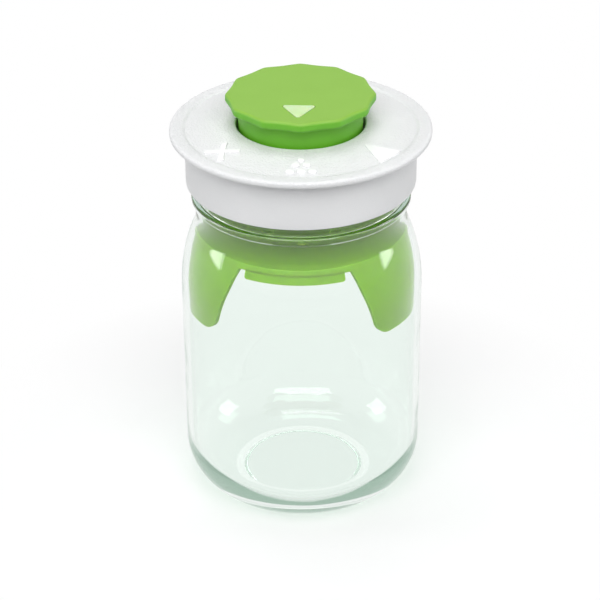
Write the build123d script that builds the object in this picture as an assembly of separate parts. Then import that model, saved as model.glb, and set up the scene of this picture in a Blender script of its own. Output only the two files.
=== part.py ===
from build123d import *
import os
from math import asin, atan2, cos, degrees, radians, sin, tan

# A fermentation jar: a glass jar with a screw lid, a stopper that turns in the lid to work its
# one-way valve, and a soft press with three wings that holds the food under its brine.
# Lengths are in millimetres. The jar stands on z = 0 with its axis on +Z. The front is -Y,
# where the stopper's pointer stands at rest, and positive turns are to the right of it.

# Glass jar
body_radius = 54.0
glass_wall = 2.8
floor_thickness = 5.5
punt_depth = 1.6
bearing_width = 3.0
bearing_margin = 1.0
heel_rounding = 22.4
inner_heel_rounding = 20.0
shoulder_height = 117.2
shoulder_step = 7.4
shoulder_rise = 17.7
shoulder_rounding = 74.0
waist_rounding = 18.0
waist_to_bead = 8.7
bead_proud = 1.8
bead_width = 3.8
bead_rounding = 1.4
finish_inset = 0.3
finish_height = 25.6
lip_rounding = 1.1

# Gasket between the lid and the glass rim
gasket_thickness = 2.0
gasket_side_gap = 0.2
seat_gap = 0.3

# Lid
lid_overhang = 6.5
rim_height = 2.9
rim_band_width = 6.2
rim_step = 0.6
rim_outer_rounding = 1.3
lid_wall = 2.4
dome_rise = 2.4
skirt_wall = 2.4
skirt_height = 22.4
thread_room = 1.8
plug_clearance = 0.9
plug_wall = 1.6
plug_depth = 7.3
edge_rounding = 0.6

# Socket in the lid for the stopper
stopper_share_of_waist = 0.5794
stopper_gap = 1.1
socket_wall = 2.0
socket_depth = 21.1
socket_floor = 2.0
port_radius = 3.5
stop_pin_radius = 2.0
stop_pin_inset = 6.5
stop_pin_height = 2.2

# Grommet in the port
port_seal_flange = 5.5
port_seal_flange_thickness = 1.0
port_seal_lip = 4.4
port_seal_bore = 2.0
port_seal_fit = 0.05

# Stopper: grip plate, hollow stem and pointer
stopper_sides = 12
plate_overhang = 5.6
plate_thickness = 4.2
plate_top_above_hole = 13.1
plate_side_hollow = 0.25
plate_corner_rounding = 3.5
plate_top_rounding = 1.2
plate_under_rounding = 1.4
stem_wall = 3.0
stem_flare = 3.2
stem_flare_height = 3.6
stem_roof = 3.4
vent_slots = 4
vent_slot_width = 6.0
vent_slot_height = 4.0
pointer_length = 13.0
pointer_width = 15.0
pointer_tip_inset = 6.2
pointer_rounding = 2.0
pointer_turn = -3.0
pointer_proud = 0.35
pointer_depth = 1.0
pointer_fit = 0.05

# Seal ring in the stem's groove
seal_ring_height = 9.2
seal_ring_thickness = 2.2
seal_ring_fit = 0.08
seal_groove_slack = 0.1

# Valve plate in the stem's foot
valve_plate_thickness = 3.0
valve_plate_gap = 0.3
snap_ring_height = 4.0
snap_ring_wall = 1.5
snap_fit = 0.05
turn_to_sign = 50.0
stop_groove_slack = 0.3
valve_pocket_radius = 4.4
valve_web = 1.0
valve_vents = 5
valve_vent_radius = 0.7
valve_vent_offset = 2.9

# Umbrella valve
valve_cap_radius = 5.0
valve_cap_room = 3.4
valve_cap_height = 1.3
valve_cap_edge = 0.5
valve_stem_radius = 1.1
valve_stem_fit = 0.08
valve_barb_radius = 1.8
valve_barb_length = 0.8
valve_lift = 0.8
valve_lift_slack = 0.1

# Press
press_turn = -4.0
press_wall_gap = 0.4
press_thickness = 2.0
press_below_waist = 4.1
press_plate_thickness = 2.6
web_depth = 6.0
web_spread = 54.0
wing_count = 3
wing_root_spread = 58.0
wing_middle_width = 40.4
wing_middle_drop = 10.0
wing_edge_rounding = 30.0
wing_foot_width = 27.5
wing_reach = 21.8
wing_corner_rounding = 8.0
wing_root_gap = 0.3
brine_holes = 6
brine_hole_radius = 2.5
brine_hole_offset = 17.0
pull_tab_width = 24.0
pull_tab_height = 16.0
pull_tab_thickness = 3.2
pull_tab_rounding = 7.0
pull_tab_edge_rounding = 1.0

# Radii that the pieces share
bearing_radius = body_radius - heel_rounding - bearing_margin
punt_rim_radius = bearing_radius - bearing_width
waist_radius = body_radius - shoulder_step
neck_bore = waist_radius - glass_wall
finish_radius = waist_radius - finish_inset
skirt_bore = finish_radius + thread_room
skirt_radius = skirt_bore + skirt_wall
lid_radius = skirt_radius + lid_overhang
plug_radius = neck_bore - plug_clearance
stopper_radius = waist_radius * stopper_share_of_waist
socket_radius = stopper_radius + stopper_gap
stem_bore = stopper_radius - stem_wall
snap_ring_radius = stem_bore - snap_fit
port_offset = snap_ring_radius - snap_ring_wall - valve_cap_room - valve_cap_radius
stop_pin_offset = stopper_radius - stop_pin_inset
plate_radius = stopper_radius + plate_overhang
pointer_tip_offset = plate_radius - pointer_tip_inset

# Heights that the pieces share
waist_height = shoulder_height + shoulder_rise
bead_underside = waist_height + waist_to_bead
bead_top = bead_underside + bead_width
jar_height = bead_top + finish_height
lid_underside = jar_height + seat_gap + gasket_thickness
hole_rim = lid_underside + lid_wall + dome_rise
socket_floor_top = hole_rim - socket_depth
socket_floor_foot = socket_floor_top - socket_floor
valve_plate_foot = socket_floor_top + port_seal_flange_thickness + valve_plate_gap
stem_foot = valve_plate_foot + valve_plate_thickness
plate_top = hole_rim + plate_top_above_hole
press_top = waist_height - press_below_waist
press_underside = press_top - press_plate_thickness
wing_foot_height = shoulder_height - wing_reach
full_turn = 360.0


def turned(corners):
    """A solid turned about the jar's axis, from corners of (radius, height, rounding)."""
    points = [(radius, height) for radius, height, rounding in corners]
    roundings = [rounding for radius, height, rounding in corners]
    outline = FilletPolyline(points, radius=roundings, close=True)
    return revolve(Plane.XZ * make_face(outline), Axis.Z)


def at_front(distance, height):
    """A place on the front line of the jar, as far from the axis as given."""
    return Pos(0, -distance, height)


def upright(radius, foot, top):
    """A round bar or bore about the axis between two heights."""
    return Pos(0, 0, foot) * extrude(Circle(radius), top - foot)


def shoulder_slope():
    """The angle in radians by which the shoulder leans in from the upright wall."""
    return atan2(shoulder_step, shoulder_rise)


def inside_curve(inset):
    """The two shoulder corners of a curve that runs inside the glass's outer face."""
    drop = inset * tan(shoulder_slope() / 2)
    shoulder = (body_radius - inset, shoulder_height - drop, shoulder_rounding - inset)
    waist = (waist_radius - inset, waist_height - drop, waist_rounding + inset)
    return shoulder, waist


def make_glass_jar():
    """The blown jar: punt and bearing ring, heel, wall, shoulder, waist, bead and finish."""
    shoulder, waist = inside_curve(0)
    inner_shoulder, inner_waist = inside_curve(glass_wall)
    return turned([
        (0, punt_depth, 0),
        (punt_rim_radius - punt_depth, punt_depth, 0),
        (punt_rim_radius, 0, 0),
        (bearing_radius, 0, 0),
        (body_radius, 0, heel_rounding),
        shoulder,
        waist,
        (waist_radius, bead_underside, 0),
        (waist_radius + bead_proud, bead_underside, bead_rounding),
        (waist_radius + bead_proud, bead_top, bead_rounding),
        (finish_radius, bead_top, 0),
        (finish_radius, jar_height, lip_rounding),
        (neck_bore, jar_height, lip_rounding),
        inner_waist,
        inner_shoulder,
        (body_radius - glass_wall, floor_thickness, inner_heel_rounding),
        (0, floor_thickness, 0),
    ])


def make_lid_gasket():
    """The flat ring that lies under the lid, between its plug and its skirt."""
    inner = plug_radius + gasket_side_gap
    outer = skirt_bore - gasket_side_gap
    foot = lid_underside - gasket_thickness
    return turned([
        (inner, foot, 0),
        (outer, foot, 0),
        (outer, lid_underside, 0),
        (inner, lid_underside, 0),
    ])


def make_lid():
    """The moulded lid: rimmed and domed disc, skirt, plug ring and stopper socket."""
    skirt_foot = lid_underside - skirt_height
    plug_foot = lid_underside - plug_depth
    socket_outside = socket_radius + socket_wall
    rim_crest = lid_underside + rim_height
    band_edge = lid_radius - rim_band_width
    disc_edge_top = rim_crest - rim_step
    lid = turned([
        (socket_radius, hole_rim, edge_rounding),
        (band_edge - rim_step, disc_edge_top, 0),
        (band_edge + rim_step, rim_crest, 0),
        (lid_radius, rim_crest, rim_outer_rounding),
        (lid_radius, lid_underside, rim_outer_rounding),
        (skirt_radius, lid_underside, 0),
        (skirt_radius, skirt_foot, edge_rounding),
        (skirt_bore, skirt_foot, 0),
        (skirt_bore, lid_underside, 0),
        (plug_radius, lid_underside, 0),
        (plug_radius, plug_foot, 0),
        (plug_radius - plug_wall, plug_foot, 0),
        (plug_radius - plug_wall, disc_edge_top - lid_wall, 0),
        (socket_outside, hole_rim - lid_wall, 0),
        (socket_outside, socket_floor_foot, 0),
        (0, socket_floor_foot, 0),
        (0, socket_floor_top, 0),
        (socket_radius, socket_floor_top, 0),
    ])
    port = at_front(port_offset, 0) * upright(port_radius, socket_floor_foot, hole_rim)
    pin = at_front(-stop_pin_offset, 0) * upright(
        stop_pin_radius, socket_floor_top, socket_floor_top + stop_pin_height)
    return lid - port + pin


def make_port_seal():
    """The grommet in the port: a flange above the floor, a neck and a lip below it."""
    neck = port_radius - port_seal_fit
    flange_top = socket_floor_top + port_seal_flange_thickness
    lip_foot = socket_floor_foot - port_seal_flange_thickness
    seal = turned([
        (port_seal_bore, flange_top, 0),
        (port_seal_flange, flange_top, 0),
        (port_seal_flange, socket_floor_top, 0),
        (neck, socket_floor_top, 0),
        (neck, socket_floor_foot, 0),
        (port_seal_lip, socket_floor_foot, 0),
        (neck, lip_foot, 0),
        (port_seal_bore, lip_foot, 0),
    ])
    return at_front(port_offset, 0) * seal


def plate_outline():
    """The grip plate's outline: a corner to the front, and each side drawn in a little."""
    step = full_turn / stopper_sides
    middle_radius = plate_radius * cos(radians(step / 2)) - plate_side_hollow
    sides = []
    for number in range(stopper_sides):
        start = number * step - full_turn / 4
        ends = [
            Vector(plate_radius, 0).rotate(Axis.Z, start + turn)
            for turn in (0, step)
        ]
        middle = Vector(middle_radius, 0).rotate(Axis.Z, start + step / 2)
        sides.append(ThreePointArc(ends[0], middle, ends[1]))
    outline = make_face(Curve() + sides)
    return fillet(outline.vertices(), plate_corner_rounding)


def pointer_outline(growth):
    """The pointer, a triangle with round corners whose tip is towards the front."""
    back = pointer_length - pointer_tip_offset
    triangle = Polyline(
        (-pointer_width / 2, back),
        (pointer_width / 2, back),
        (0, -pointer_tip_offset),
        close=True,
    )
    rounded = Rot(0, 0, pointer_turn) * fillet(make_face(triangle).vertices(), pointer_rounding)
    return offset(rounded, growth) if growth else rounded


def make_stopper_cap():
    """The grip plate with its hollow stem, seal groove and vent slots."""
    plate_foot = plate_top - plate_thickness
    plate = Pos(0, 0, plate_foot) * extrude(plate_outline(), plate_thickness)
    plate = fillet(plate.faces().sort_by(Axis.Z)[-1].edges(), plate_top_rounding)
    plate = fillet(plate.faces().sort_by(Axis.Z)[0].edges(), plate_under_rounding)
    stem = turned([
        (0, stem_foot, 0),
        (stopper_radius, stem_foot, 0),
        (stopper_radius, plate_foot - stem_flare_height, stem_flare),
        (stopper_radius + stem_flare, plate_foot, 0),
        (stopper_radius + stem_flare, plate_foot + plate_thickness / 2, 0),
        (0, plate_foot + plate_thickness / 2, 0),
    ])
    bore = upright(stem_bore, stem_foot, plate_top - stem_roof)
    ring_middle = stem_foot + seal_ring_height
    groove_half = seal_ring_thickness / 2 + seal_groove_slack
    groove_floor = socket_radius - seal_ring_fit - seal_ring_thickness - seal_groove_slack
    groove = (
        upright(stopper_radius + stem_flare, ring_middle - groove_half, ring_middle + groove_half)
        - upright(groove_floor, ring_middle - groove_half, ring_middle + groove_half)
    )
    slot_foot = ring_middle + seal_ring_thickness
    slot_box = Pos(stopper_radius, 0, slot_foot + vent_slot_height / 2) * Box(
        2 * stem_wall, vent_slot_width, vent_slot_height)
    slots = [
        Rot(0, 0, (number + 1 / 2) * full_turn / vent_slots) * slot_box
        for number in range(vent_slots)
    ]
    pocket = Pos(0, 0, plate_top - pointer_depth) * extrude(pointer_outline(pointer_fit), pointer_depth)
    return plate + stem - bore - groove - slots - pocket


def make_pointer_inlay():
    """The pale pointer let into the grip plate, a little proud of it."""
    height = pointer_depth + pointer_proud
    inlay = Pos(0, 0, plate_top - pointer_depth) * extrude(pointer_outline(0), height)
    return chamfer(inlay.faces().sort_by(Axis.Z)[-1].edges(), pointer_proud / 2)


def make_stem_seal_ring():
    """The round ring in the stem's groove, which fills the gap to the socket."""
    middle = socket_radius - seal_ring_fit - seal_ring_thickness / 2
    return Pos(0, 0, stem_foot + seal_ring_height) * Torus(middle, seal_ring_thickness / 2)


def make_valve_plate():
    """The disc that closes the stem: snap ring, valve seat, and the groove of the turn stop."""
    snap_ring_bore = snap_ring_radius - snap_ring_wall
    snap_ring_top = stem_foot + snap_ring_height
    plate = turned([
        (0, valve_plate_foot, 0),
        (stopper_radius, valve_plate_foot, 0),
        (stopper_radius, stem_foot, 0),
        (snap_ring_radius, stem_foot, 0),
        (snap_ring_radius, snap_ring_top, 0),
        (snap_ring_bore, snap_ring_top, 0),
        (snap_ring_bore, stem_foot, 0),
        (0, stem_foot, 0),
    ])
    half_width = stop_pin_radius + stop_groove_slack
    half_sweep = turn_to_sign + degrees(asin(stop_groove_slack / stop_pin_offset))
    groove_top = socket_floor_top + stop_pin_height + stop_groove_slack
    path = CenterArc((0, 0), stop_pin_offset, full_turn / 4 - half_sweep, 2 * half_sweep)
    groove_plan = make_face(path.offset_2d(half_width))
    groove = Pos(0, 0, valve_plate_foot) * extrude(groove_plan, groove_top - valve_plate_foot)
    pocket = upright(valve_pocket_radius, valve_plate_foot, stem_foot - valve_web)
    stem_hole = upright(valve_stem_radius + valve_stem_fit, valve_plate_foot, stem_foot)
    vents = [
        Rot(0, 0, number * full_turn / valve_vents)
        * Pos(valve_vent_offset, 0, 0)
        * upright(valve_vent_radius, valve_plate_foot, stem_foot)
        for number in range(valve_vents)
    ]
    seat = at_front(port_offset, 0) * (pocket + stem_hole + vents)
    return plate - groove - seat


def make_umbrella_valve():
    """The one-way valve: a thin cap over the vents, and a stem with a barb under the web."""
    web_foot = stem_foot - valve_web
    barb_top = web_foot - valve_lift - valve_lift_slack
    valve = turned([
        (0, barb_top - valve_barb_length, 0),
        (valve_stem_radius, barb_top - valve_barb_length, 0),
        (valve_barb_radius, barb_top, 0),
        (valve_stem_radius, barb_top, 0),
        (valve_stem_radius, stem_foot, 0),
        (valve_cap_radius, stem_foot, 0),
        (valve_cap_radius, stem_foot + valve_cap_edge, 0),
        (valve_stem_radius, stem_foot + valve_cap_height, 0),
        (0, stem_foot + valve_cap_height, 0),
    ])
    return at_front(port_offset, 0) * valve


def press_shell():
    """A cup upside down that lines the jar's inner wall from the floor to the press's plate."""
    outside, outside_waist = inside_curve(glass_wall + press_wall_gap)
    inside, inside_waist = inside_curve(glass_wall + press_wall_gap + press_thickness)
    waist_top = waist_height + waist_rounding
    lining = turned([
        (0, floor_thickness, 0),
        (outside[0], floor_thickness, 0),
        outside,
        outside_waist,
        (outside_waist[0], waist_top, 0),
        (0, waist_top, 0),
    ])
    hollow = turned([
        (0, floor_thickness, 0),
        (inside[0], floor_thickness, 0),
        inside,
        inside_waist,
        (inside_waist[0], waist_top, 0),
        (0, waist_top, 0),
    ])
    cup = lining & upright(body_radius, 0, press_top)
    return cup - (hollow & upright(body_radius, 0, press_underside))


def wing_outline():
    """A wing's face in the plane X-Z: wide at its root, with bowed sides, and narrow at its foot."""
    root_radius = inside_curve(glass_wall + press_wall_gap)[1][0]
    root_half = root_radius * sin(radians(wing_root_spread / 2))
    middle_half = wing_middle_width / 2
    foot_half = wing_foot_width / 2
    root_height = press_underside - wing_root_gap
    middle_height = root_height - wing_middle_drop
    return FilletPolyline(
        (-root_half, root_height),
        (root_half, root_height),
        (middle_half, middle_height),
        (foot_half, wing_foot_height),
        (-foot_half, wing_foot_height),
        (-middle_half, middle_height),
        radius=[
            0,
            0,
            wing_edge_rounding,
            wing_corner_rounding,
            wing_corner_rounding,
            wing_edge_rounding,
        ],
        close=True,
    )


def make_wing(shell, turn):
    """One wing of the press, cut from the shell and turned to its place from the front."""
    blade = extrude(Plane.XZ * make_face(wing_outline()), body_radius)
    return Rot(0, 0, turn) * (Rot(0, 0, -turn) * shell & blade)


def web_sector(turn):
    """The wedge of space that holds one web, between two wings."""
    half = web_spread / 2
    reach = body_radius / cos(radians(half))
    corners = [
        (0, 0),
        (reach * sin(radians(-half)), -reach * cos(radians(half))),
        (reach * sin(radians(half)), -reach * cos(radians(half))),
    ]
    sector = extrude(make_face(Polyline(*corners, close=True)), press_top)
    return Rot(0, 0, turn) * sector


def make_press_plate(shell):
    """The press's plate with its webs, brine holes and pull tab."""
    plate = shell & upright(body_radius, press_underside, press_top)
    web_band = shell & upright(body_radius, press_top - web_depth, press_underside)
    webs = [
        web_band & web_sector(press_turn + number * full_turn / wing_count)
        for number in range(wing_count)
    ]
    holes = [
        Rot(0, 0, (number + 1 / 2) * full_turn / brine_holes)
        * Pos(brine_hole_offset, 0, 0)
        * upright(brine_hole_radius, press_underside, press_top)
        for number in range(brine_holes)
    ]
    tab_face = FilletPolyline(
        (-pull_tab_width / 2, press_underside),
        (pull_tab_width / 2, press_underside),
        (pull_tab_width / 2, press_top + pull_tab_height),
        (-pull_tab_width / 2, press_top + pull_tab_height),
        radius=[0, 0, pull_tab_rounding, pull_tab_rounding],
        close=True,
    )
    tab = extrude(Plane.XZ * make_face(tab_face), pull_tab_thickness / 2, both=True)
    tab_sides = tab.faces().sort_by(Axis.Y)
    tab = fillet(tab_sides[0].edges() + tab_sides[-1].edges(), pull_tab_edge_rounding)
    return plate + webs - holes + Rot(0, 0, press_turn) * tab


def make_press():
    """The press as a plate and three wings, turned as it stands in the jar."""
    shell = press_shell()
    half_pitch = full_turn / wing_count / 2
    return {
        "press_plate": make_press_plate(shell),
        "press_wing_right": make_wing(shell, press_turn + half_pitch),
        "press_wing_left": make_wing(shell, press_turn - half_pitch),
        "press_wing_back": make_wing(shell, press_turn + 3 * half_pitch),
    }


nodes = {
    "glass_jar": make_glass_jar(),
    "lid_gasket": make_lid_gasket(),
    "lid": make_lid(),
    "port_seal": make_port_seal(),
    "stopper_cap": make_stopper_cap(),
    "pointer_inlay": make_pointer_inlay(),
    "stem_seal_ring": make_stem_seal_ring(),
    "valve_plate": make_valve_plate(),
    "umbrella_valve": make_umbrella_valve(),
    **make_press(),
}

os.makedirs("parts", exist_ok=True)
for name, solid in nodes.items():
    export_step(solid, f"parts/{name}.step")
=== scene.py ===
import math

import bmesh
import bpy
from mathutils import Matrix, Vector


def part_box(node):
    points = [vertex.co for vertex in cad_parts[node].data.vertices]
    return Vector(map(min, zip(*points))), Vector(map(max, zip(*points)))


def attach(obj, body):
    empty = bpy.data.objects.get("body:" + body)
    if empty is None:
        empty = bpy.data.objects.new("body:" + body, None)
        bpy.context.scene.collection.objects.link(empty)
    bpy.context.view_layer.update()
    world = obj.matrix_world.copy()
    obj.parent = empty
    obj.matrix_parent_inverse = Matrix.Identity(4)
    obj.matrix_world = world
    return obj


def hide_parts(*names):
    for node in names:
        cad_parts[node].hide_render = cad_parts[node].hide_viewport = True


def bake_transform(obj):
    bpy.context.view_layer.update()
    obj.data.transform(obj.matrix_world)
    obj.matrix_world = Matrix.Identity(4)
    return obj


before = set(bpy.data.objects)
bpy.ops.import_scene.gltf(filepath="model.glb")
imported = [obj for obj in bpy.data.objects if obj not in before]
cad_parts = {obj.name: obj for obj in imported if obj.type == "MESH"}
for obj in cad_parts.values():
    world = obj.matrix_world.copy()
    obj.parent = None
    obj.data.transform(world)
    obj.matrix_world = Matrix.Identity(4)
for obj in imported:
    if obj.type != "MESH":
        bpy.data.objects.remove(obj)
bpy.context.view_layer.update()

# Camera. The photograph was taken from in front and above with a long lens. Its place comes from
# the ellipses of lid, bead and foot, and their sizes. It looks at a point close to the jar's axis.
mm = 0.001
photo_side = 600
camera_distance = 950 * mm
camera_elevation = math.radians(29.7)
camera_roll = math.radians(-0.4)
camera_target = Vector((-0.85 * mm, 0, 90.8 * mm))
pixels_per_radian = 2095
sensor_width = 36
view_limit = 20

bpy.ops.object.camera_add()
camera = bpy.context.object
camera.name = "camera"
camera.data.sensor_width = sensor_width
camera.data.lens = sensor_width * pixels_per_radian / photo_side
camera.data.clip_end = view_limit
camera_ray = Vector((0, -math.cos(camera_elevation), math.sin(camera_elevation)))
camera.location = camera_target + camera_distance * camera_ray
upright_view = Matrix.Rotation(math.pi / 2 - camera_elevation, 3, "X")
camera.rotation_euler = (upright_view @ Matrix.Rotation(camera_roll, 3, "Z")).to_euler()
bpy.context.scene.camera = camera
bpy.context.scene.view_settings.view_transform = "Standard"


# Studio. A pale paper sweep under the jar, one soft lamp overhead, a large one high in front, a tall
# one on each side, and a pale room for the rest. The paper shows white to the camera and through
# the glass, and keeps the jar's shadow.
def linear(hex_colour):
    """The linear RGBA of an sRGB hex colour such as "#92C46A"."""
    channels = [int(hex_colour[i:i + 2], 16) / 255 for i in (1, 3, 5)]
    return [c / 12.92 if c <= 0.04045 else ((c + 0.055) / 1.055) ** 2.4 for c in channels] + [1]


def add_node(owner, kind, settings=None, **links):
    """Adds a shader node. Settings go on its properties or sockets, and links feed its sockets."""
    node = owner.node_tree.nodes.new(kind)
    for name, value in (settings or {}).items():
        if isinstance(name, int) or name in node.inputs:
            node.inputs[name].default_value = value
        else:
            setattr(node, name, value)
    for name, source in links.items():
        socket = node.inputs[int(name[1:]) if name[0] == "_" else name.replace("_", " ")]
        owner.node_tree.links.new(source, socket)
    return node


def new_material(name):
    """A material with an empty node tree."""
    material = bpy.data.materials.new(name)
    material.use_nodes = True
    material.node_tree.nodes.clear()
    return material


def ray_share(owner, rays, share):
    """The share for rays of the kinds named, and 0 for all others."""
    kinds = add_node(owner, "ShaderNodeLightPath")
    found = kinds.outputs[rays[0]]
    for ray in rays[1:]:
        found = add_node(owner, "ShaderNodeMath", {"operation": "MAXIMUM"},
                         _0=found, _1=kinds.outputs[ray]).outputs[0]
    return add_node(owner, "ShaderNodeMath", {"operation": "MULTIPLY", 1: share}, _0=found).outputs[0]


# Matt paper. Near the jar it takes shadows, and further out the camera sees it plain white.
sweep_white = new_material("studio_paper_sweep")
glass_rays = ("Is Glossy Ray", "Is Transmission Ray")
white = linear("#FFFFFF")
shadow_reach = 90 * mm
lift_strength = 2.2
lift_share = 0.13
white_in_glass = 0.85
paper = add_node(sweep_white, "ShaderNodeBsdfDiffuse", {"Color": linear("#D0D0D0")})
paper_bright = add_node(sweep_white, "ShaderNodeBsdfDiffuse", {"Color": linear("#DCDCDC")})
paper_lift = add_node(sweep_white, "ShaderNodeEmission",
                      {"Color": white, "Strength": lift_strength})
paper_white = add_node(sweep_white, "ShaderNodeEmission", {"Color": white, "Strength": 1.0})
paper_near = add_node(sweep_white, "ShaderNodeMixShader", {0: lift_share},
                      _1=paper_bright.outputs[0], _2=paper_lift.outputs[0])
paper_place = add_node(sweep_white, "ShaderNodeTexCoord")
paper_distance = add_node(sweep_white, "ShaderNodeVectorMath", {"operation": "LENGTH"},
                          _0=paper_place.outputs["Object"])
paper_far = add_node(sweep_white, "ShaderNodeMapRange",
                     {"From Min": shadow_reach, "From Max": 2 * shadow_reach},
                     Value=paper_distance.outputs["Value"])
paper_seen = add_node(sweep_white, "ShaderNodeMixShader", _0=paper_far.outputs[0],
                      _1=paper_near.outputs[0], _2=paper_white.outputs[0])
paper_glass = add_node(sweep_white, "ShaderNodeMixShader",
                       _0=ray_share(sweep_white, glass_rays, white_in_glass),
                       _1=paper.outputs[0], _2=paper_white.outputs[0])
paper_mix = add_node(sweep_white, "ShaderNodeMixShader",
                     _0=ray_share(sweep_white, ["Is Camera Ray"], 1),
                     _1=paper_glass.outputs[0], _2=paper_seen.outputs[0])
add_node(sweep_white, "ShaderNodeOutputMaterial", Surface=paper_mix.outputs[0])

sweep_size = 8.0
bpy.ops.object.select_all(action="DESELECT")
bpy.ops.mesh.primitive_plane_add(size=sweep_size)
floor = bpy.context.object
floor.name = "floor"
floor.data.materials.append(sweep_white)

world = bpy.data.worlds.new("studio_room")
world.use_nodes = True
world.node_tree.nodes.clear()
room = add_node(world, "ShaderNodeBackground", {"Color": linear("#F4F6F8"), "Strength": 0.15})
room_white = add_node(world, "ShaderNodeBackground", {"Color": white, "Strength": 1.0})
room_mix = add_node(world, "ShaderNodeMixShader",
                    _0=ray_share(world, ("Is Camera Ray",) + glass_rays, 1),
                    _1=room.outputs[0], _2=room_white.outputs[0])
add_node(world, "ShaderNodeOutputWorld", Surface=room_mix.outputs[0])
bpy.context.scene.world = world


def soft_lamp(name, place, width, height, watts):
    """A soft box that faces the jar, its place and size in metres and its power in watts."""
    bpy.ops.object.light_add(type="AREA", location=place)
    lamp = bpy.context.object
    lamp.name = name
    lamp.data.shape = "RECTANGLE"
    lamp.data.size = width
    lamp.data.size_y = height
    lamp.data.energy = watts
    lamp.rotation_euler = (camera_target - Vector(place)).to_track_quat("-Z", "Y").to_euler()


soft_lamp("overhead_softbox", (-0.1, 0.35, 2.1), 0.9, 0.9, 14)
soft_lamp("front_softbox", (0, -1.2, 1.5), 2.0, 1.2, 34)
soft_lamp("left_softbox", (-1.5, 0.1, 0.5), 0.5, 0.9, 6)
soft_lamp("right_softbox", (1.5, 0.1, 0.5), 0.5, 0.9, 6)


# Glass jar. Clear soda-lime glass, blown in a two-part mould: a heavy rounded heel round a shallow
# punt, a straight wall, a soft shoulder, a waist and a bead, and a finish with one screw thread.
# It replaces the CAD jar to add the thread and smoother curves.
def rounded(corners, step):
    """The points of a closed outline from corners of (radius, height, rounding)."""
    points = []
    for number, (radius, height, rounding) in enumerate(corners):
        corner = Vector((radius, height))
        if rounding <= 0:
            points.append(corner)
            continue
        to_last = (Vector(corners[number - 1][:2]) - corner).normalized()
        to_next = (Vector(corners[(number + 1) % len(corners)][:2]) - corner).normalized()
        half = to_last.angle(to_next) / 2
        centre = corner + (to_last + to_next).normalized() * (rounding / math.sin(half))
        arm = corner + to_last * (rounding / math.tan(half)) - centre
        sweep = math.pi - 2 * half
        turn = 1 if to_last.cross(to_next) < 0 else -1
        steps = max(2, math.ceil(sweep / step))
        for part in range(steps + 1):
            arm_now = arm.copy()
            arm_now.rotate(Matrix.Rotation(turn * sweep * part / steps, 2))
            points.append(centre + arm_now)
    return points


face_margin = 0.02 * mm
thread_run = 0.4 * mm


def divided(points, longest, thread_radius):
    """The same outline with no run longer than given, and short runs where a thread will stand."""
    result = []
    for last, point in zip(points, points[1:]):
        threaded = all(abs(p.x - thread_radius) < face_margin for p in (last, point))
        parts = max(1, math.ceil((point - last).length / (thread_run if threaded else longest)))
        result += [last.lerp(point, part / parts) for part in range(parts)]
    return result + [points[-1]]


merge_distance = 0.002 * mm


def lathed(name, outline, sides):
    """A piece turned on the jar's axis: an outline drawn point by point and spun full circle."""
    bpy.ops.object.select_all(action="DESELECT")
    bpy.ops.mesh.primitive_plane_add(size=mm)
    piece = bpy.context.object
    piece.name = name
    bpy.ops.object.mode_set(mode="EDIT")
    bpy.ops.mesh.select_mode(type="VERT")
    bpy.ops.mesh.select_all(action="SELECT")
    bpy.ops.mesh.merge(type="CENTER")
    first = outline[0]
    bpy.ops.transform.translate(value=(first.x, 0, first.y))
    closing = [first] if first.x > 0 else []
    for last, point in zip(outline, outline[1:] + closing):
        bpy.ops.mesh.extrude_vertices_move(
            TRANSFORM_OT_translate={"value": (point.x - last.x, 0, point.y - last.y)})
    bpy.ops.mesh.select_all(action="SELECT")
    bpy.ops.mesh.remove_doubles(threshold=merge_distance)
    bpy.ops.mesh.spin(steps=sides, angle=2 * math.pi, center=(0, 0, 0), axis=(0, 0, 1))
    bpy.ops.mesh.select_all(action="SELECT")
    bpy.ops.mesh.remove_doubles(threshold=merge_distance)
    bpy.ops.mesh.normals_make_consistent(inside=False)
    bpy.ops.object.mode_set(mode="OBJECT")
    return piece


def pick(*pieces):
    """Selects only these pieces, and makes the first one active."""
    bpy.ops.object.select_all(action="DESELECT")
    for piece in pieces:
        piece.select_set(True)
    bpy.context.view_layer.objects.active = pieces[0]


def smooth(piece, crease=35):
    """Smooth shading, with creases kept where faces meet at more than the angle in degrees."""
    pick(piece)
    bpy.ops.object.shade_smooth_by_angle(angle=math.radians(crease))


def dress(piece, material):
    """Gives a piece one material and no other."""
    piece.data.materials.clear()
    piece.data.materials.append(material)


glass_wall = 2.8 * mm
jar_radius, jar_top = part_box("glass_jar")[1].x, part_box("glass_jar")[1].z
floor_thickness = 5.5 * mm
punt_depth = 1.6 * mm
punt_radius = 26.0 * mm
bearing_width = 3.0 * mm
heel_rounding = 22.4 * mm
inner_heel_rounding = 20.0 * mm
shoulder_height = 117.2 * mm
shoulder_rounding = 74.0 * mm
waist_radius = 46.6 * mm
waist_height = 134.9 * mm
waist_rounding = 18.0 * mm
bead_radius = 48.4 * mm
bead_foot = 143.6 * mm
bead_top = 147.4 * mm
bead_rounding = 1.4 * mm
bead_root_rounding = 0.8 * mm
finish_radius = 46.3 * mm
lip_rounding = 1.1 * mm
bearing_rounding = 0.5 * mm
arc_step = math.radians(4)
longest_run = 6.0 * mm
jar_sides = 240
thread_pitch = 6.0 * mm
thread_turns = 1.6
thread_depth = 1.0 * mm
thread_half_width = 1.4 * mm
thread_start = 154.0 * mm
thread_runout = 0.06
thread_fullness = 0.7
shoulder_lean = math.atan2(jar_radius - waist_radius, waist_height - shoulder_height)


def inside_curve(inset):
    """The waist and shoulder corners of a curve that runs inside the glass's outer face."""
    drop = inset * math.tan(shoulder_lean / 2)
    waist = (waist_radius - inset, waist_height - drop, waist_rounding + inset)
    shoulder = (jar_radius - inset, shoulder_height - drop, shoulder_rounding - inset)
    return waist, shoulder


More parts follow.
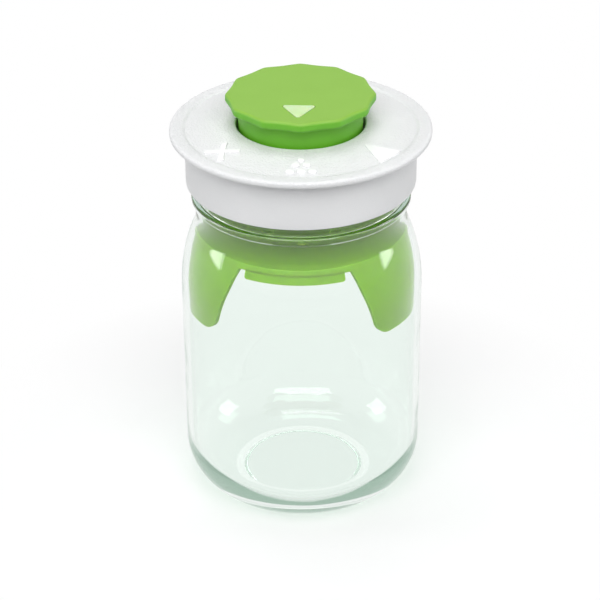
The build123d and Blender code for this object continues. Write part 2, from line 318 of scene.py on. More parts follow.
inner_waist, inner_shoulder = inside_curve(glass_wall)
outer_waist, outer_shoulder = inside_curve(0)
jar_outline = divided(rounded([
    (0, punt_depth, 0),
    (punt_radius, punt_depth, punt_depth),
    (punt_radius + punt_depth, 0, bearing_rounding),
    (punt_radius + punt_depth + bearing_width, 0, 0),
    (jar_radius, 0, heel_rounding),
    outer_shoulder,
    outer_waist,
    (waist_radius, bead_foot, bead_root_rounding),
    (bead_radius, bead_foot, bead_rounding),
    (bead_radius, bead_top, bead_rounding),
    (finish_radius, bead_top, bead_root_rounding),
    (finish_radius, jar_top, lip_rounding),
    (waist_radius - glass_wall, jar_top, lip_rounding),
    inner_waist,
    inner_shoulder,
    (jar_radius - glass_wall, floor_thickness, inner_heel_rounding),
    (0, floor_thickness, 0),
], arc_step), longest_run, finish_radius)
glass_jar = lathed("jar_glass", jar_outline, jar_sides)


def raise_thread(piece, radius, depth, start, side):
    """Raises a screw thread on the turned face at the radius, outwards (1) or inwards (-1)."""
    for vertex in piece.data.vertices:
        place = vertex.co
        distance = math.hypot(place.x, place.y)
        if abs(distance - radius) > face_margin:
            continue
        turn = math.atan2(place.y, place.x) / (2 * math.pi) % 1
        ridge = 0
        for along in (turn, turn + 1):
            across = abs(place.z - start - thread_pitch * along) / thread_half_width
            ends = min(1, along / thread_runout, (thread_turns - along) / thread_runout)
            if across < 1 and ends > 0:
                ridge = depth * ends * math.cos(across * math.pi / 2) ** thread_fullness
        place.x *= (distance + side * ridge) / distance
        place.y *= (distance + side * ridge) / distance


raise_thread(glass_jar, finish_radius, thread_depth, thread_start, 1)
smooth(glass_jar, crease=50)

# Soda-lime glass: clear, with a breath of green where it is looked through edgeways, and a surface
# that ripples slowly because it was blown. Lamplight passes straight through with a slight tint, so
# that the jar's shadow is pale. A ray still caught inside after a few bounces leaves the same way,
# so that the thick heel and the thread don't turn black.
glass = new_material("soda_lime_glass")
ripple_size = 22 * mm
glass_bounces = 4
glass_place = add_node(glass, "ShaderNodeTexCoord")
ripple = add_node(glass, "ShaderNodeTexNoise",
                  {"Scale": 1 / ripple_size, "Detail": 1.0, "Roughness": 0.4},
                  Vector=glass_place.outputs["Object"])
ripple_bump = add_node(glass, "ShaderNodeBump", {"Strength": 0.1, "Distance": 1.0 * mm},
                       Height=ripple.outputs["Fac"])
clear = add_node(glass, "ShaderNodeBsdfPrincipled",
                 {"Base Color": linear("#FAFFFC"), "Transmission Weight": 1.0, "Roughness": 0.0,
                  "IOR": 1.52}, Normal=ripple_bump.outputs["Normal"])
lamp_way = add_node(glass, "ShaderNodeBsdfTransparent", {"Color": linear("#DCE6E0")})
glass_ray = add_node(glass, "ShaderNodeLightPath")
deep_ray = add_node(glass, "ShaderNodeMath", {"operation": "GREATER_THAN", 1: glass_bounces},
                    _0=glass_ray.outputs["Ray Depth"])
let_out = add_node(glass, "ShaderNodeMixShader", _0=deep_ray.outputs[0],
                   _1=clear.outputs[0], _2=lamp_way.outputs[0])
glass_mix = add_node(glass, "ShaderNodeMixShader", _0=glass_ray.outputs["Is Shadow Ray"],
                     _1=let_out.outputs[0], _2=lamp_way.outputs[0])
green_depth = add_node(glass, "ShaderNodeVolumeAbsorption",
                       {"Color": linear("#B5DCC8"), "Density": 3.0})
add_node(glass, "ShaderNodeOutputMaterial", Surface=glass_mix.outputs[0],
         Volume=green_depth.outputs[0])
dress(glass_jar, glass)
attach(glass_jar, "jar")
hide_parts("glass_jar")


# Gasket, grommet, stem ring and one-way valve. Translucent silicone rubber, pressed in steel
# moulds. All four are hidden at rest and keep their CAD shapes.
def grained(owner, place, grain_size, strength, depth):
    """The normals of a face with a fine grain, from the real size and depth of its grains."""
    grains = add_node(owner, "ShaderNodeTexNoise", {"Scale": 1 / grain_size, "Detail": 2.0},
                      Vector=place.outputs["Object"])
    bump = add_node(owner, "ShaderNodeBump", {"Strength": strength, "Distance": depth},
                    Height=grains.outputs["Fac"])
    return bump.outputs["Normal"]


# Pressed silicone: cloudy and satin. The grain of the mould is far finer than this, and is drawn
# coarser so that it shows.
silicone = new_material("clear_silicone_rubber")
silicone_grain = 0.8 * mm
silicone_place = add_node(silicone, "ShaderNodeTexCoord")
rubber = add_node(silicone, "ShaderNodeBsdfPrincipled",
                  {"Base Color": linear("#DDE2E0"), "Roughness": 0.35, "IOR": 1.41,
                   "Transmission Weight": 0.35, "Subsurface Weight": 0.2,
                   "Subsurface Scale": 2 * mm},
                  Normal=grained(silicone, silicone_place, silicone_grain, 0.15, 0.05 * mm))
add_node(silicone, "ShaderNodeOutputMaterial", Surface=rubber.outputs[0])
for name in ("lid_gasket", "port_seal", "stem_seal_ring", "umbrella_valve"):
    dress(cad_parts[name], silicone)

# Lid. White polypropylene, injection moulded in one piece: a domed disc with a rolled rim, a plain
# skirt with the screw thread inside, a plug ring and the stopper's socket with its gas port and
# stop pin. Its top is finely grained and its skirt satin.
lid_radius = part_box("lid")[1].x
hole_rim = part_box("lid")[1].z
lid_wall = 2.4 * mm
dome_rise = 2.4 * mm
lid_underside = hole_rim - lid_wall - dome_rise
rim_crest = lid_underside + 2.9 * mm
rim_band = 6.2 * mm
rim_step = 0.6 * mm
skirt_radius = 50.5 * mm
skirt_bore = 48.1 * mm
skirt_foot = lid_underside - 22.4 * mm
plug_radius = 42.9 * mm
plug_wall = 1.6 * mm
plug_foot = lid_underside - 7.3 * mm
socket_radius = 28.1 * mm
socket_wall = 2.0 * mm
socket_floor_top = hole_rim - 21.1 * mm
socket_floor_foot = socket_floor_top - socket_wall
port_offset = 14.0 * mm
port_radius = 3.5 * mm
stop_pin_offset = 20.5 * mm
stop_pin_radius = 2.0 * mm
stop_pin_height = 2.2 * mm
lid_thread_depth = 0.7 * mm
hole_rounding = 0.8 * mm
dish_rounding = 1.6 * mm
rim_rounding = 1.3 * mm
rim_foot_rounding = 1.2 * mm
skirt_root_rounding = 1.0 * mm
skirt_foot_rounding = 0.7 * mm
skirt_bore_rounding = 0.5 * mm
inner_rounding = 0.3 * mm
fine = 0.6 * mm
small_arc_step = math.radians(15)
lid_longest_run = 4.0 * mm
lid_sides = 192
band_edge = lid_radius - rim_band
band_inner = band_edge - rim_step
lid = lathed("lid_moulding", divided(rounded([
    (0, socket_floor_top, 0),
    (socket_radius, socket_floor_top, fine),
    (socket_radius, hole_rim, hole_rounding),
    (band_inner, rim_crest - rim_step, dish_rounding),
    (band_edge + rim_step, rim_crest, dish_rounding),
    (lid_radius, rim_crest, rim_rounding),
    (lid_radius, lid_underside, rim_foot_rounding),
    (skirt_radius, lid_underside, skirt_root_rounding),
    (skirt_radius, skirt_foot, skirt_foot_rounding),
    (skirt_bore, skirt_foot, skirt_bore_rounding),
    (skirt_bore, lid_underside, inner_rounding),
    (plug_radius, lid_underside, inner_rounding),
    (plug_radius, plug_foot, fine),
    (plug_radius - plug_wall, plug_foot, fine),
    (plug_radius - plug_wall, rim_crest - rim_step - lid_wall + fine, fine),
    (socket_radius + socket_wall, hole_rim - lid_wall, fine),
    (socket_radius + socket_wall, socket_floor_foot, fine),
    (0, socket_floor_foot, 0),
], small_arc_step), lid_longest_run, skirt_bore), lid_sides)
raise_thread(lid, skirt_bore, lid_thread_depth, thread_start - thread_pitch / 2, -1)


def cut(piece, cutter):
    """Cuts one mesh out of another, and removes the cutter."""
    pick(piece)
    boolean = piece.modifiers.new("cut", "BOOLEAN")
    boolean.operation = "DIFFERENCE"
    boolean.object = cutter
    bpy.ops.object.modifier_apply(modifier=boolean.name)
    bpy.data.objects.remove(cutter)


def joined(name, pieces):
    """Joins pieces to one object at the origin."""
    pick(*pieces)
    if len(pieces) > 1:
        bpy.ops.object.join()
    pieces[0].name = name
    bpy.ops.object.transform_apply(location=True, rotation=True, scale=True)
    return pieces[0]


# The gas port is cut through the socket's floor, and the stop pin stands on it.
port_cut = 8.0 * mm
bpy.ops.mesh.primitive_cylinder_add(
    vertices=48, radius=port_radius, depth=port_cut,
    location=(0, -port_offset, socket_floor_foot))
cut(lid, bpy.context.object)
bpy.ops.mesh.primitive_cylinder_add(
    vertices=32, radius=stop_pin_radius, depth=stop_pin_height + fine,
    location=(0, stop_pin_offset, socket_floor_top + (stop_pin_height - fine) / 2))
lid = joined("lid_moulding", [lid, bpy.context.object])
smooth(lid)


def dome_height(distance):
    """The height of the lid's top face at a distance from the axis."""
    fall = (distance - socket_radius) / (band_inner - socket_radius)
    return hole_rim - fall * (hole_rim - rim_crest + rim_step)


# Raised signs, moulded with the lid: a cross for closed, six bubbles for fermenting and a triangle
# that points at the knob for release. Each follows the slope of the lid.
sign_proud = 0.7 * mm
sign_sunk = 0.3 * mm
sign_thickness = sign_proud + sign_sunk
sign_edge = 0.3 * mm
cross_distance = 42.9 * mm
cross_turn = math.radians(-50.5)
cross_length = 15.0 * mm
cross_width = 2.2 * mm
cross_flare = 0.25
flare_power = 1.5
triangle_distance = 44.6 * mm
triangle_turn = math.radians(49.5)
triangle_height = 14.6 * mm
triangle_width = 14.6 * mm
triangle_corner = 1.6 * mm
bubble_edge = 0.35 * mm

# The bubbles stand in three rows, and the small single one is nearest to the knob. Each row has its
# distance from the axis, the radius of its bubbles and their places to the side.
bubble_rows = (
    (37.2 * mm, 1.45 * mm, (0,)),
    (41.0 * mm, 1.75 * mm, (-2.3 * mm, 2.3 * mm)),
    (46.0 * mm, 1.9 * mm, (-4.7 * mm, 0, 4.7 * mm)),
)


def bar(length, width, turn, flare):
    """A flat bar with round edges that grows wider to its ends."""
    bpy.ops.object.select_all(action="DESELECT")
    bpy.ops.mesh.primitive_cube_add(size=1)
    piece = bpy.context.object
    piece.scale = (length, width, sign_thickness)
    bpy.ops.object.transform_apply(scale=True)
    bpy.ops.object.mode_set(mode="EDIT")
    bpy.ops.mesh.select_all(action="SELECT")
    bpy.ops.mesh.subdivide(number_cuts=5)
    bpy.ops.object.mode_set(mode="OBJECT")
    for vertex in piece.data.vertices:
        vertex.co.y *= 1 + flare * (abs(vertex.co.x) / (length / 2)) ** flare_power
    piece.rotation_euler.z = turn
    bpy.ops.object.transform_apply(rotation=True)
    return piece


def triangle(height, width, thickness, corner):
    """A flat triangle whose tip points to -Y, with round corners."""
    bpy.ops.object.select_all(action="DESELECT")
    bpy.ops.mesh.primitive_cylinder_add(vertices=3, radius=1, depth=thickness)
    piece = bpy.context.object
    lowest = min(vertex.co.y for vertex in piece.data.vertices)
    highest = max(vertex.co.y for vertex in piece.data.vertices)
    widest = max(vertex.co.x for vertex in piece.data.vertices)
    for vertex in piece.data.vertices:
        vertex.co.x *= width / 2 / widest
        vertex.co.y = height / 3 - height * (vertex.co.y - lowest) / (highest - lowest)
    bpy.ops.object.mode_set(mode="EDIT")
    bpy.ops.mesh.select_all(action="SELECT")
    bpy.ops.mesh.normals_make_consistent(inside=False)
    bpy.ops.mesh.select_mode(type="EDGE")
    bpy.ops.mesh.select_all(action="DESELECT")
    mesh = bmesh.from_edit_mesh(piece.data)
    for edge in mesh.edges:
        edge.select_set(abs(edge.verts[0].co.z - edge.verts[1].co.z) > thickness / 2)
    bmesh.update_edit_mesh(piece.data)
    bpy.ops.mesh.bevel(offset=corner, offset_type="WIDTH", segments=6)
    bpy.ops.object.mode_set(mode="OBJECT")
    return piece


def soften(piece, width, segments=3):
    """Rounds every sharp edge of a piece."""
    pick(piece)
    bevel = piece.modifiers.new("edges", "BEVEL")
    bevel.width = width
    bevel.segments = segments
    bevel.limit_method = "ANGLE"
    bevel.angle_limit = math.radians(40)
    bpy.ops.object.modifier_apply(modifier=bevel.name)


def lay_on_lid(piece, distance, turn, side=0):
    """Moves a flat sign to its place on the lid, sinks its foot and bends it to the lid's slope."""
    middle = (sign_proud - sign_sunk) / 2
    place = Matrix.Rotation(turn, 4, "Z") @ Matrix.Translation((side, -distance, middle))
    for vertex in piece.data.vertices:
        vertex.co = place @ vertex.co
        vertex.co.z += dome_height(math.hypot(vertex.co.x, vertex.co.y))


signs = []
for turn in (45, -45):
    cross_bar = bar(cross_length, cross_width, math.radians(turn), cross_flare)
    soften(cross_bar, sign_edge)
    lay_on_lid(cross_bar, cross_distance, cross_turn)
    signs.append(cross_bar)
for distance, radius, sides in bubble_rows:
    for side in sides:
        bpy.ops.mesh.primitive_cylinder_add(vertices=32, radius=radius, depth=sign_thickness)
        bubble = bpy.context.object
        soften(bubble, bubble_edge)
        lay_on_lid(bubble, distance, 0, side)
        signs.append(bubble)
release = triangle(triangle_height, triangle_width, sign_thickness, triangle_corner)
release.rotation_euler.z = math.pi
bpy.ops.object.transform_apply(rotation=True)
soften(release, sign_edge)
lay_on_lid(release, triangle_distance, triangle_turn)
signs.append(release)
lid_signs = joined("lid_raised_signs", signs)
smooth(lid_signs)


def mottled(owner, place, patch_size, detail, dark, light):
    """A colour that drifts between two hex colours, in patches of a real size."""
    patches = add_node(owner, "ShaderNodeTexNoise", {"Scale": 1 / patch_size, "Detail": detail},
                       Vector=place.outputs["Object"])
    colour = add_node(owner, "ShaderNodeValToRGB", _0=patches.outputs["Fac"])
    colour.color_ramp.elements[0].color = linear(dark)
    colour.color_ramp.elements[1].color = linear(light)
    return colour.outputs["Color"]


# Moulded polypropylene: white and a little translucent. The mould's etched top gives a pebbled
# grain, drawn a little coarser so that it shows, and its smoother skirt a satin face.
white_plastic = new_material("white_moulded_polypropylene")
pebble_size = 0.9 * mm
pebble_depth = 0.25 * mm
skirt_grain_share = 0.25
white_patch_size = 14 * mm
white_place = add_node(white_plastic, "ShaderNodeTexCoord")
white_colour = mottled(white_plastic, white_place, white_patch_size, 3.0, "#D8D9DA", "#DFDFE0")
pebbles = add_node(white_plastic, "ShaderNodeTexVoronoi",
                   {"feature": "SMOOTH_F1", "Scale": 1 / pebble_size, "Smoothness": 0.6},
                   Vector=white_place.outputs["Object"])
white_height = add_node(white_plastic, "ShaderNodeSeparateXYZ", Vector=white_place.outputs["Object"])
etched_top = add_node(white_plastic, "ShaderNodeMapRange",
                      {"From Min": lid_underside, "From Max": rim_crest,
                       "To Min": skirt_grain_share}, Value=white_height.outputs["Z"])
grain = add_node(white_plastic, "ShaderNodeMath", {"operation": "MULTIPLY"},
                 _0=pebbles.outputs["Distance"], _1=etched_top.outputs[0])
grain_bump = add_node(white_plastic, "ShaderNodeBump", {"Strength": 1.0, "Distance": pebble_depth},
                      Height=grain.outputs[0])
white_body = add_node(white_plastic, "ShaderNodeBsdfPrincipled",
                      {"Roughness": 0.42, "IOR": 1.49, "Subsurface Weight": 0.15,
                       "Subsurface Radius": (1, 1, 1), "Subsurface Scale": 1.5 * mm},
                      Base_Color=white_colour, Normal=grain_bump.outputs["Normal"])
add_node(white_plastic, "ShaderNodeOutputMaterial", Surface=white_body.outputs[0])

# The signs come from polished parts of the mould, so they are smooth and look whiter than the grain.
sign_plastic = new_material("white_smooth_polypropylene")
sign_patch_size = 6 * mm
sign_place = add_node(sign_plastic, "ShaderNodeTexCoord")
sign_colour = mottled(sign_plastic, sign_place, sign_patch_size, 2.0, "#EAEAEB", "#F0F0F0")
sign_body = add_node(sign_plastic, "ShaderNodeBsdfPrincipled", {"Roughness": 0.25, "IOR": 1.49},
                     Base_Color=sign_colour)
add_node(sign_plastic, "ShaderNodeOutputMaterial", Surface=sign_body.outputs[0])

dress(lid, white_plastic)
dress(lid_signs, sign_plastic)
for piece in (lid, lid_signs):
    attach(piece, "lid")
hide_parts("lid")

# Stopper. Green polypropylene, moulded in one piece: a twelve-sided grip plate whose scalloped
# underside runs into a hollow round stem, with a groove for its seal ring and four vent slots. The
# pale pointer is let into its top. The valve plate that snaps into its foot keeps its CAD shape.
plate_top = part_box("stopper_cap")[1].z
stem_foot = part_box("stopper_cap")[0].z
plate_radius = 32.6 * mm
plate_sides = 12
plate_fullness = 1.004
side_hollow = 0.35 * mm
corner_sharpness = 120
plate_thickness = 4.2 * mm
top_rounding = 1.3 * mm
under_rounding = 1.5 * mm
stem_radius = 27.0 * mm
stem_bore = 24.0 * mm
stem_roof = 3.4 * mm
flare_height = 5.4 * mm
ring_middle = stem_foot + 9.2 * mm
groove_half = 1.2 * mm
groove_radius = 25.72 * mm
stem_chamfer = 0.3 * mm
slot_count = 4
slot_width = 6.0 * mm
slot_height = 4.0 * mm
slot_foot = ring_middle + 2.2 * mm
slot_cut = 8.0 * mm
ring_points = 360
bend_parts = 8


def plate_edge(turn):
    """The grip plate's outline at a turn from the front: twelve drawn-in sides, round corners.

    Its radius is a sum of powers over the sides, and the higher the power, the sharper the corners.
    """
    step = 2 * math.pi / plate_sides
    apothem = plate_radius * math.cos(step / 2) * plate_fullness
    total = 0
    for side in range(plate_sides):
        lean = math.cos(turn - (side + 0.5) * step)
        if lean > 0:
            total += (lean / apothem * plate_radius) ** corner_sharpness
    hollow = side_hollow * (0.5 - 0.5 * math.cos(turn * plate_sides))
    return plate_radius * total ** (-1 / corner_sharpness) - hollow


def piece_of(name, mesh):
    """A piece made of a mesh that was built point by point."""
    data = bpy.data.meshes.new(name)
    mesh.to_mesh(data)
    mesh.free()
    piece = bpy.data.objects.new(name, data)
    bpy.context.collection.objects.link(piece)
    return piece


def from_rings(name, rings):
    """A closed mesh through rings of (radius by turn, height), where None stands for a point.

    The stopper's outline turns from twelve-sided to round on its way down, so it isn't lathed.
    """
    mesh = bmesh.new()
    turns = [2 * math.pi * number / ring_points for number in range(ring_points)]
    loops = [
        [mesh.verts.new((radius_at(t) * math.sin(t), -radius_at(t) * math.cos(t), height))
         for t in turns] if radius_at else [mesh.verts.new((0, 0, height))]
        for radius_at, height in rings
    ]
    for upper, lower in zip(loops, loops[1:]):
        for number in range(ring_points):
            after = (number + 1) % ring_points
            corners = [upper[number % len(upper)], upper[after % len(upper)],
                       lower[after % len(lower)], lower[number % len(lower)]]
            mesh.faces.new(list(dict.fromkeys(corners)))
    bmesh.ops.recalc_face_normals(mesh, faces=mesh.faces)
    return piece_of(name, mesh)


def plate_ring(inset, share=1):
    """The plate's outline drawn in by a distance, at a share of its size."""
    return lambda turn: (plate_edge(turn) - inset) * share


def round_ring(radius):
    """A round ring."""
    return lambda turn: radius


def flare_ring(part):
    """The scalloped underside: from the plate's edge (0) to the round stem (1)."""
    return lambda turn: stem_radius + (plate_edge(turn) - under_rounding - stem_radius) * (1 - part)


plate_foot = plate_top - plate_thickness
bends = [math.pi / 2 * part / bend_parts for part in range(bend_parts + 1)]
top_shares = (0.2, 0.4, 0.6, 0.8, 0.95)
cap_rings = [(None, plate_top)]
cap_rings += [(plate_ring(top_rounding, share), plate_top) for share in top_shares]
cap_rings += [(plate_ring(top_rounding * (1 - math.sin(bend))),
               plate_top - top_rounding * (1 - math.cos(bend))) for bend in bends]
cap_rings += [(plate_ring(under_rounding * (1 - math.cos(bend))),
               plate_foot + under_rounding * (1 - math.sin(bend))) for bend in bends]
cap_rings += [(flare_ring(math.sin(bend)), plate_foot - flare_height * (1 - math.cos(bend)))
              for bend in bends[1:]]
cap_rings += [
    (round_ring(stem_radius), ring_middle + groove_half),
    (round_ring(groove_radius), ring_middle + groove_half),
    (round_ring(groove_radius), ring_middle - groove_half),
    (round_ring(stem_radius), ring_middle - groove_half),
    (round_ring(stem_radius), stem_foot + stem_chamfer),
    (round_ring(stem_radius - stem_chamfer), stem_foot),
    (round_ring(stem_bore), stem_foot),
    (round_ring(stem_bore), plate_top - stem_roof),
    (None, plate_top - stem_roof),
]
stopper = from_rings("stopper_moulding", cap_rings)

# The vent slots go through the stem's wall above the ring.
for number in range(slot_count):
    bpy.ops.mesh.primitive_cube_add(size=1)
    slot = bpy.context.object
    slot.scale = (slot_cut, slot_width, slot_height)
    slot.rotation_euler.z = (number + 0.5) * 2 * math.pi / slot_count
    slot.location = Matrix.Rotation(slot.rotation_euler.z, 3, "Z") @ Vector(
        (stem_radius, 0, slot_foot + slot_height / 2))
    bpy.ops.object.transform_apply(location=True, rotation=True, scale=True)
    cut(stopper, slot)

# The pointer sits in its pocket with an even gap all round. Such a gap makes the pocket three gaps
# taller and 3.4 gaps wider than the pointer.
pointer_height = 13.0 * mm
pointer_width = 15.0 * mm
pointer_tip = 26.4 * mm
pointer_proud = 0.33 * mm
pointer_depth = 1.0 * mm
pointer_gap = 0.18 * mm
pocket_gain_height = 3 * pointer_gap
pocket_gain_width = 3.4 * pointer_gap
pointer_corner = 2.0 * mm
pointer_edge = 0.3 * mm
pointer_turn = math.radians(-3)
pointer_place = Vector((0, pointer_height * 2 / 3 - pointer_tip, 0))
pointer_place.rotate(Matrix.Rotation(pointer_turn, 3, "Z"))
pocket = triangle(pointer_height + pocket_gain_height, pointer_width + pocket_gain_width,
                  2 * pointer_depth, pointer_corner + pointer_gap)
pocket.rotation_euler.z = pointer_turn
pocket.location = pointer_place + Vector((0, 0, plate_top))
bpy.ops.object.transform_apply(location=True, rotation=True)
cut(stopper, pocket)
smooth(stopper, crease=40)

pointer = triangle(pointer_height, pointer_width, pointer_depth + pointer_proud, pointer_corner)
soften(pointer, pointer_edge, segments=4)
pointer.rotation_euler.z = pointer_turn
pointer.location = pointer_place + Vector((0, 0, plate_top + (pointer_proud - pointer_depth) / 2))
pointer = joined("stopper_pointer", [pointer])
smooth(pointer, crease=40)

# Moulded polypropylene again, in green. The plate's top is painted paler and more yellow than the
# satin stem, a painted sheen of the light from above. The grain is drawn coarser than the real one
# so that it shows.
green_plastic = new_material("green_moulded_polypropylene")
green_grain = 0.5 * mm
green_grain_depth = 0.08 * mm
green_patch_size = 12 * mm
sheen_painted_margin = 0.3 * mm
green_place = add_node(green_plastic, "ShaderNodeTexCoord")
satin_colour = mottled(green_plastic, green_place, green_patch_size, 3.0, "#5EAA1E", "#66B026")
# Painted sheen: the plate's top takes a paler, yellower colour than the stem, fading in over its top
# rounding.
sheen_painted_colour = mottled(green_plastic, green_place, green_patch_size, 3.0, "#7AA930", "#80AF38")
green_height = add_node(green_plastic, "ShaderNodeSeparateXYZ", Vector=green_place.outputs["Object"])
sheen_painted_share = add_node(green_plastic, "ShaderNodeMapRange",
                        {"From Min": plate_top - top_rounding,
                         "From Max": plate_top - sheen_painted_margin}, Value=green_height.outputs["Z"])
green_mix = add_node(green_plastic, "ShaderNodeMix", {"data_type": "RGBA"},
                     _0=sheen_painted_share.outputs[0], _6=satin_colour, _7=sheen_painted_colour)
green_body = add_node(green_plastic, "ShaderNodeBsdfPrincipled",
                      {"Roughness": 0.48, "IOR": 1.5, "Subsurface Weight": 0.1,
                       "Subsurface Radius": (0.6, 1, 0.3), "Subsurface Scale": 2 * mm},
                      Base_Color=green_mix.outputs[2],
                      Normal=grained(green_plastic, green_place, green_grain, 0.35,
                                     green_grain_depth))
add_node(green_plastic, "ShaderNodeOutputMaterial", Surface=green_body.outputs[0])

# The pointer is a pale, glossy, slightly cloudy plastic that lets a little of the green through.
pale_plastic = new_material("pale_green_translucent_plastic")
pale_patch_size = 5 * mm
pale_place = add_node(pale_plastic, "ShaderNodeTexCoord")
pale_colour = mottled(pale_plastic, pale_place, pale_patch_size, 2.0, "#B9D896", "#C9E0AE")
pale_body = add_node(pale_plastic, "ShaderNodeBsdfPrincipled",
                     {"Roughness": 0.22, "IOR": 1.5, "Subsurface Weight": 0.2,
                      "Subsurface Scale": 1 * mm}, Base_Color=pale_colour)
add_node(pale_plastic, "ShaderNodeOutputMaterial", Surface=pale_body.outputs[0])

dress(stopper, green_plastic)
dress(pointer, pale_plastic)
dress(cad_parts["valve_plate"], white_plastic)
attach(stopper, "stopper")
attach(pointer, "stopper")
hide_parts("stopper_cap")
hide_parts("pointer_inlay")

# Press. Green silicone rubber, moulded in one piece: a thin round plate with six drain holes and a
# pull tab, three short webs that hang from its edge, and between them three wings that line the
# wall below the shoulder. Here each wing is a piece of its own.
press_top = 130.8 * mm
press_plate_thickness = 2.6 * mm
press_underside = press_top - press_plate_thickness
press_inset = 3.2 * mm
press_thickness = 2.0 * mm
press_turn = math.radians(-4)
web_foot = 124.8 * mm
web_half_spread = math.radians(27)
web_corner = 1.2 * mm
wing_foot = 95.4 * mm
wing_root_half_spread = math.radians(29)
wing_middle_drop = 10.0 * mm
wing_middle_width = 40.4 * mm
wing_edge_rounding = 30.0 * mm
wing_foot_width = 27.5 * mm
wing_corner = 8.0 * mm
wing_arc_step = math.radians(3)
press_arc_step = math.radians(2)
press_edge_rounding = 0.5 * mm
press_plate_sides = 144
drain_holes = 6
drain_hole_radius = 2.5 * mm
drain_hole_offset = 17.0 * mm
drain_hole_cut = 10.0 * mm
tab_width = 24.0 * mm
tab_height = 16.0 * mm
tab_thickness = 3.2 * mm
tab_root = 2.0 * mm
tab_corner = 7.0 * mm
tab_edge = 1.0 * mm
lining_columns = 48
corner_rows = 16
web_rows_count = 4
web_overlap = 0.3 * mm
wing_rows_count = 24

press_waist, press_shoulder = inside_curve(press_inset)
press_curve = rounded([
    (0, floor_thickness, 0),
    (press_shoulder[0], floor_thickness, 0),
    press_shoulder,
    press_waist,
    (press_waist[0], bead_top, 0),
    (0, bead_top, 0),
], press_arc_step)[1:-1]


def press_radius(height):
    """The radius of the press's outer face at a height, from the curve of the jar's wall."""
    for low, high in zip(press_curve, press_curve[1:]):
        if low.y <= height <= high.y:
            return low.lerp(high, (height - low.y) / (high.y - low.y)).x


def lining(name, middle, heights, half_spread):
    """A strip of the press's wall: rows of points at heights, each as wide as half_spread says."""
    mesh = bmesh.new()
    rows = []
    for height in heights:
        turns = [middle + half_spread(height) * (2 * column / lining_columns - 1)
                 for column in range(lining_columns + 1)]
        radius = press_radius(height)
        rows.append([mesh.verts.new((radius * math.sin(t), -radius * math.cos(t), height))
                     for t in turns])
    for lower, upper in zip(rows, rows[1:]):
        for number in range(lining_columns):
            mesh.faces.new((lower[number], lower[number + 1], upper[number + 1], upper[number]))
    piece = piece_of(name, mesh)
    pick(piece)
    solid = piece.modifiers.new("thickness", "SOLIDIFY")
    solid.thickness = press_thickness
    solid.offset = -1
    bpy.ops.object.modifier_apply(modifier=solid.name)
    return piece


wing_edge = rounded([
    (0, press_underside, 0),
    (press_radius(press_underside) * math.sin(wing_root_half_spread), press_underside, 0),
    (wing_middle_width / 2, press_underside - wing_middle_drop, wing_edge_rounding),
    (wing_foot_width / 2, wing_foot, wing_corner),
    (0, wing_foot, 0),
], wing_arc_step)[1:-1]


def wing_half(height):
    """Half the turn that the wing spans: bowed edges that narrow downwards to round corners."""
    for high, low in zip(wing_edge, wing_edge[1:]):
        if height >= low.y:
            break
    share = min(1, max(0, (height - low.y) / (high.y - low.y)))
    return math.asin(low.lerp(high, share).x / press_radius(height))


def web_half(height):
    """Half the turn that a web spans, with small round corners at its foot."""
    above = min(1, (height - web_foot) / web_corner)
    short = web_corner * (1 - math.sqrt(1 - (1 - above) ** 2))
    return web_half_spread - short / waist_radius


def rows_from(foot, corner, top, count):
    """Heights of rows: close together in the round corners at the foot, then even up to the top."""
    rows = [foot + corner * (1 - math.cos(math.pi / 2 * part / corner_rows))
            for part in range(corner_rows + 1)]
    rows += [foot + corner + (top - foot - corner) * part / count for part in range(1, count + 1)]
    return rows


press_plate = lathed("press_moulding", rounded([
    (0, press_underside, 0),
    (press_radius(press_underside) - press_thickness, press_underside, 0),
    (press_radius(press_underside), press_underside, 0),
    (press_radius(press_top), press_top, press_edge_rounding),
    (0, press_top, 0),
], small_arc_step), press_plate_sides)
for number in range(drain_holes):
    turn = (number + 0.5) * 2 * math.pi / drain_holes
    bpy.ops.mesh.primitive_cylinder_add(
        vertices=40, radius=drain_hole_radius, depth=drain_hole_cut,
        location=(drain_hole_offset * math.cos(turn), drain_hole_offset * math.sin(turn), press_top))
    cut(press_plate, bpy.context.object)
web_rows = rows_from(web_foot, web_corner, press_underside + web_overlap, web_rows_count)
webs = [lining("web", press_turn + math.radians(turn), web_rows, web_half)
        for turn in (0, 120, 240)]

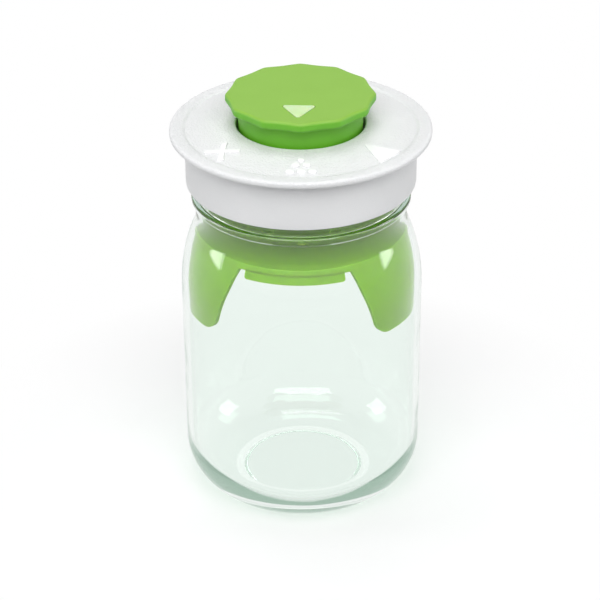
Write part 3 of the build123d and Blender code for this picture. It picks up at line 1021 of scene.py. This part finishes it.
# The pull tab is a block across the plate's middle, with its two upper corners well rounded.
bpy.ops.mesh.primitive_cube_add(
    size=1, location=(0, 0, press_top + (tab_height - tab_root) / 2))
tab = bpy.context.object
tab.scale = (tab_width, tab_thickness, tab_height + tab_root)
bpy.ops.object.transform_apply(location=True, rotation=False, scale=True)
bpy.ops.object.mode_set(mode="EDIT")
bpy.ops.mesh.select_mode(type="EDGE")
bpy.ops.mesh.select_all(action="DESELECT")
mesh = bmesh.from_edit_mesh(tab.data)
for edge in mesh.edges:
    across = abs(edge.verts[0].co.y - edge.verts[1].co.y) > tab_thickness / 2
    edge.select_set(across and edge.verts[0].co.z > press_top + tab_height / 2)
bmesh.update_edit_mesh(tab.data)
bpy.ops.mesh.bevel(offset=tab_corner, offset_type="OFFSET", segments=10)
bpy.ops.object.mode_set(mode="OBJECT")
soften(tab, tab_edge, segments=4)
tab.rotation_euler.z = press_turn
bpy.ops.object.transform_apply(rotation=True)
press_plate = joined("press_moulding", [press_plate, tab] + webs)
smooth(press_plate, crease=40)

# Moulded silicone rubber: matt, saturated green, with light that spreads inside it. The grain is
# drawn coarser than the real one so that it shows.
green_silicone = new_material("green_silicone_rubber")
press_grain = 0.7 * mm
press_grain_depth = 0.08 * mm
press_patch_size = 25 * mm
press_place = add_node(green_silicone, "ShaderNodeTexCoord")
press_colour = mottled(green_silicone, press_place, press_patch_size, 3.0, "#74A008", "#7CA810")
press_body = add_node(green_silicone, "ShaderNodeBsdfPrincipled",
                      {"Roughness": 0.5, "IOR": 1.41, "Subsurface Weight": 0.7,
                       "Subsurface Radius": (0.8, 1, 0.3), "Subsurface Scale": 4 * mm},
                      Base_Color=press_colour,
                      Normal=grained(green_silicone, press_place, press_grain, 0.15,
                                     press_grain_depth))
add_node(green_silicone, "ShaderNodeOutputMaterial", Surface=press_body.outputs[0])

dress(press_plate, green_silicone)
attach(press_plate, "press")
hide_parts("press_plate")

# A wing's rows run from its foot up to the plate's underside.
wing_rows = rows_from(wing_foot, wing_corner, press_underside, wing_rows_count)
for body, turn in (("wing_right", 60), ("wing_left", -60), ("wing_back", 180)):
    angle = press_turn + math.radians(turn)
    wing = lining(f"press_{body}_moulding", angle, wing_rows, wing_half)
    smooth(wing, crease=40)
    dress(wing, green_silicone)
    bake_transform(wing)
    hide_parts(f"press_{body}")
